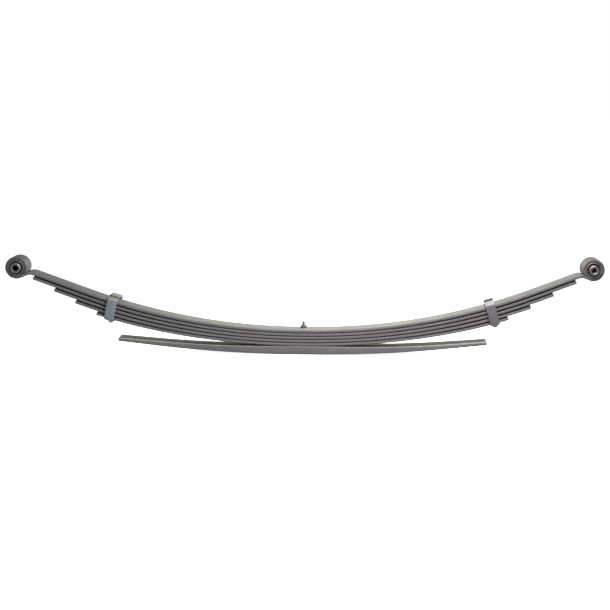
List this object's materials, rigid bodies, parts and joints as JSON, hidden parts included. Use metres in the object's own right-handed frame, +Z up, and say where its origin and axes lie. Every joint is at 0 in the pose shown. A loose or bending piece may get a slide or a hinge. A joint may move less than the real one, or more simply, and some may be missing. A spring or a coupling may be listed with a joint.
{
  "type": "leaf spring",
  "caption": "Cambered semi-elliptic truck leaf spring: graded leaves with upturned bushed eyes, a thick tapered helper leaf, rebound clips and a centre bolt.",
  "frame": {"origin": "on the centre bolt's axis, level with the underside of the helper leaf where it sits on the axle", "axes": "+X along the spring from the front eye to the rear eye, +Y across the leaves, +Z up from the axle seat towards the eyes"},
  "size_m": [1.5798, 0.0856, 0.2624],
  "materials": {
    "leaf_paint": "grey primer-like coating over rolled spring steel, satin",
    "clip_steel": "blue-grey coated strap, satin",
    "fastener_steel": "dark oiled steel",
    "bushing_steel": "machined steel",
    "bushing_rubber": "black natural rubber",
    "pad_plastic": "dark anti-friction plastic"
  },
  "bodies": {
    "seat": {"helper_leaf": "leaf_paint", "centre_bolt": "fastener_steel", "centre_bolt_nut": "fastener_steel", "main_leaf_centre": "leaf_paint", "second_leaf_centre": "leaf_paint", "third_leaf_centre": "leaf_paint", "fourth_leaf_centre": "leaf_paint", "fifth_leaf_centre": "leaf_paint"},
    "main_leaf_front_arm": {"main_leaf_front_arm": "leaf_paint", "front_bushing_can": "bushing_steel", "front_bushing_rubber": "bushing_rubber"},
    "second_leaf_front_arm": {"second_leaf_front_arm": "leaf_paint", "second_leaf_front_tip_pad": "pad_plastic"},
    "third_leaf_front_arm": {"third_leaf_front_arm": "leaf_paint", "third_leaf_front_tip_pad": "pad_plastic"},
    "fourth_leaf_front_arm": {"fourth_leaf_front_arm": "leaf_paint", "fourth_leaf_front_tip_pad": "pad_plastic"},
    "fifth_leaf_front_arm": {"fifth_leaf_front_arm": "leaf_paint", "fifth_leaf_front_tip_pad": "pad_plastic", "front_rebound_clip": "clip_steel", "front_clip_rivet": "clip_steel"},
    "front_sleeve": {"front_bushing_sleeve": "bushing_steel"},
    "main_leaf_rear_arm": {"main_leaf_rear_arm": "leaf_paint", "rear_bushing_can": "bushing_steel", "rear_bushing_rubber": "bushing_rubber"},
    "second_leaf_rear_arm": {"second_leaf_rear_arm": "leaf_paint", "second_leaf_rear_tip_pad": "pad_plastic"},
    "third_leaf_rear_arm": {"third_leaf_rear_arm": "leaf_paint", "third_leaf_rear_tip_pad": "pad_plastic"},
    "fourth_leaf_rear_arm": {"fourth_leaf_rear_arm": "leaf_paint", "fourth_leaf_rear_tip_pad": "pad_plastic"},
    "fifth_leaf_rear_arm": {"fifth_leaf_rear_arm": "leaf_paint", "fifth_leaf_rear_tip_pad": "pad_plastic", "rear_rebound_clip": "clip_steel", "rear_clip_rivet": "clip_steel"},
    "rear_sleeve": {"rear_bushing_sleeve": "bushing_steel"}
  },
  "joints": [
    {"name": "main_leaf_front_flex", "type": "hinge", "parent": "seat", "child": "main_leaf_front_arm", "pos_m": [-0.22941, 0, 0.07615], "axis": [0, -1, 0], "range_deg": [-2, 9.4], "stiffness_Nm_per_rad": 1030},
    {"name": "second_leaf_front_flex", "type": "hinge", "parent": "seat", "child": "second_leaf_front_arm", "pos_m": [-0.23059, 0, 0.067], "axis": [0, -1, 0], "range_deg": [-2, 9.4], "stiffness_Nm_per_rad": 1030},
    {"name": "third_leaf_front_flex", "type": "hinge", "parent": "seat", "child": "third_leaf_front_arm", "pos_m": [-0.23177, 0, 0.05785], "axis": [0, -1, 0], "range_deg": [-2, 9.4], "stiffness_Nm_per_rad": 1030},
    {"name": "fourth_leaf_front_flex", "type": "hinge", "parent": "seat", "child": "fourth_leaf_front_arm", "pos_m": [-0.23295, 0, 0.0487], "axis": [0, -1, 0], "range_deg": [-2, 9.4], "stiffness_Nm_per_rad": 1030},
    {"name": "fifth_leaf_front_flex", "type": "hinge", "parent": "seat", "child": "fifth_leaf_front_arm", "pos_m": [-0.23414, 0, 0.03954], "axis": [0, -1, 0], "range_deg": [-2, 9.4], "stiffness_Nm_per_rad": 1030},
    {"name": "front_sleeve_turn", "type": "hinge", "parent": "main_leaf_front_arm", "child": "front_sleeve", "pos_m": [-0.7589, 0, 0.2238], "axis": [0, 1, 0], "range_deg": [-20, 20], "stiffness_Nm_per_rad": 46},
    {"name": "main_leaf_rear_flex", "type": "hinge", "parent": "seat", "child": "main_leaf_rear_arm", "pos_m": [0.22941, 0, 0.07615], "axis": [0, 1, 0], "range_deg": [-2, 9.4], "stiffness_Nm_per_rad": 1030},
    {"name": "second_leaf_rear_flex", "type": "hinge", "parent": "seat", "child": "second_leaf_rear_arm", "pos_m": [0.23059, 0, 0.067], "axis": [0, 1, 0], "range_deg": [-2, 9.4], "stiffness_Nm_per_rad": 1030},
    {"name": "third_leaf_rear_flex", "type": "hinge", "parent": "seat", "child": "third_leaf_rear_arm", "pos_m": [0.23177, 0, 0.05785], "axis": [0, 1, 0], "range_deg": [-2, 9.4], "stiffness_Nm_per_rad": 1030},
    {"name": "fourth_leaf_rear_flex", "type": "hinge", "parent": "seat", "child": "fourth_leaf_rear_arm", "pos_m": [0.23295, 0, 0.0487], "axis": [0, 1, 0], "range_deg": [-2, 9.4], "stiffness_Nm_per_rad": 1030},
    {"name": "fifth_leaf_rear_flex", "type": "hinge", "parent": "seat", "child": "fifth_leaf_rear_arm", "pos_m": [0.23414, 0, 0.03954], "axis": [0, 1, 0], "range_deg": [-2, 9.4], "stiffness_Nm_per_rad": 1030},
    {"name": "rear_sleeve_turn", "type": "hinge", "parent": "main_leaf_rear_arm", "child": "rear_sleeve", "pos_m": [0.7629, 0, 0.2334], "axis": [0, 1, 0], "range_deg": [-20, 20], "stiffness_Nm_per_rad": 46}
  ],
  "couplings": [
    {"joint": "second_leaf_front_flex", "follows": "main_leaf_front_flex", "ratio": 1},
    {"joint": "third_leaf_front_flex", "follows": "main_leaf_front_flex", "ratio": 1},
    {"joint": "fourth_leaf_front_flex", "follows": "main_leaf_front_flex", "ratio": 1},
    {"joint": "fifth_leaf_front_flex", "follows": "main_leaf_front_flex", "ratio": 1},
    {"joint": "second_leaf_rear_flex", "follows": "main_leaf_rear_flex", "ratio": 1},
    {"joint": "third_leaf_rear_flex", "follows": "main_leaf_rear_flex", "ratio": 1},
    {"joint": "fourth_leaf_rear_flex", "follows": "main_leaf_rear_flex", "ratio": 1},
    {"joint": "fifth_leaf_rear_flex", "follows": "main_leaf_rear_flex", "ratio": 1}
  ]
}
